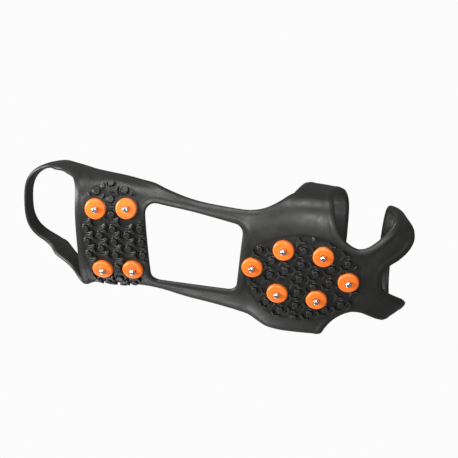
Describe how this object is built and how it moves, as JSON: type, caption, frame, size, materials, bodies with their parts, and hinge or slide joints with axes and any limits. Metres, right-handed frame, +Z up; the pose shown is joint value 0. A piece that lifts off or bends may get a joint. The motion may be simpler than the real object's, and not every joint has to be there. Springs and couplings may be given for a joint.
{
  "type": "slip-on ice cleats",
  "caption": "Stretch-on rubber overshoe for a shoe, with heel and forefoot pads, straps round heel, instep and toe, and steel-tipped studs in round collars.",
  "frame": {"origin": "on the ground under the middle of the bounding box, with the stud tips at z = 0", "axes": "+X towards the toe, +Y towards the inner (medial) side of a right foot, +Z up"},
  "size_m": [0.3077, 0.1212, 0.0852],
  "materials": {
    "rubber": "dark charcoal moulded rubber, soft satin",
    "collar_plastic": "bright orange moulded plastic, satin gloss",
    "pin_steel": "turned bright steel, slightly worn tip"
  },
  "bodies": {
    "root": {"rubber_overshoe": "rubber", "collar_heel_rear_lateral": "collar_plastic", "collar_heel_rear_medial": "collar_plastic", "collar_heel_front_lateral": "collar_plastic", "collar_heel_front_medial": "collar_plastic", "collar_forefoot_rear_centre": "collar_plastic", "collar_forefoot_rear_lateral": "collar_plastic", "collar_forefoot_rear_medial": "collar_plastic", "collar_forefoot_front_centre": "collar_plastic", "collar_forefoot_front_lateral": "collar_plastic", "collar_forefoot_front_medial": "collar_plastic", "pin_heel_rear_lateral": "pin_steel", "pin_heel_rear_medial": "pin_steel", "pin_heel_front_lateral": "pin_steel", "pin_heel_front_medial": "pin_steel", "pin_forefoot_rear_centre": "pin_steel", "pin_forefoot_rear_lateral": "pin_steel", "pin_forefoot_rear_medial": "pin_steel", "pin_forefoot_front_centre": "pin_steel", "pin_forefoot_front_lateral": "pin_steel", "pin_forefoot_front_medial": "pin_steel"}
  },
  "joints": []
}
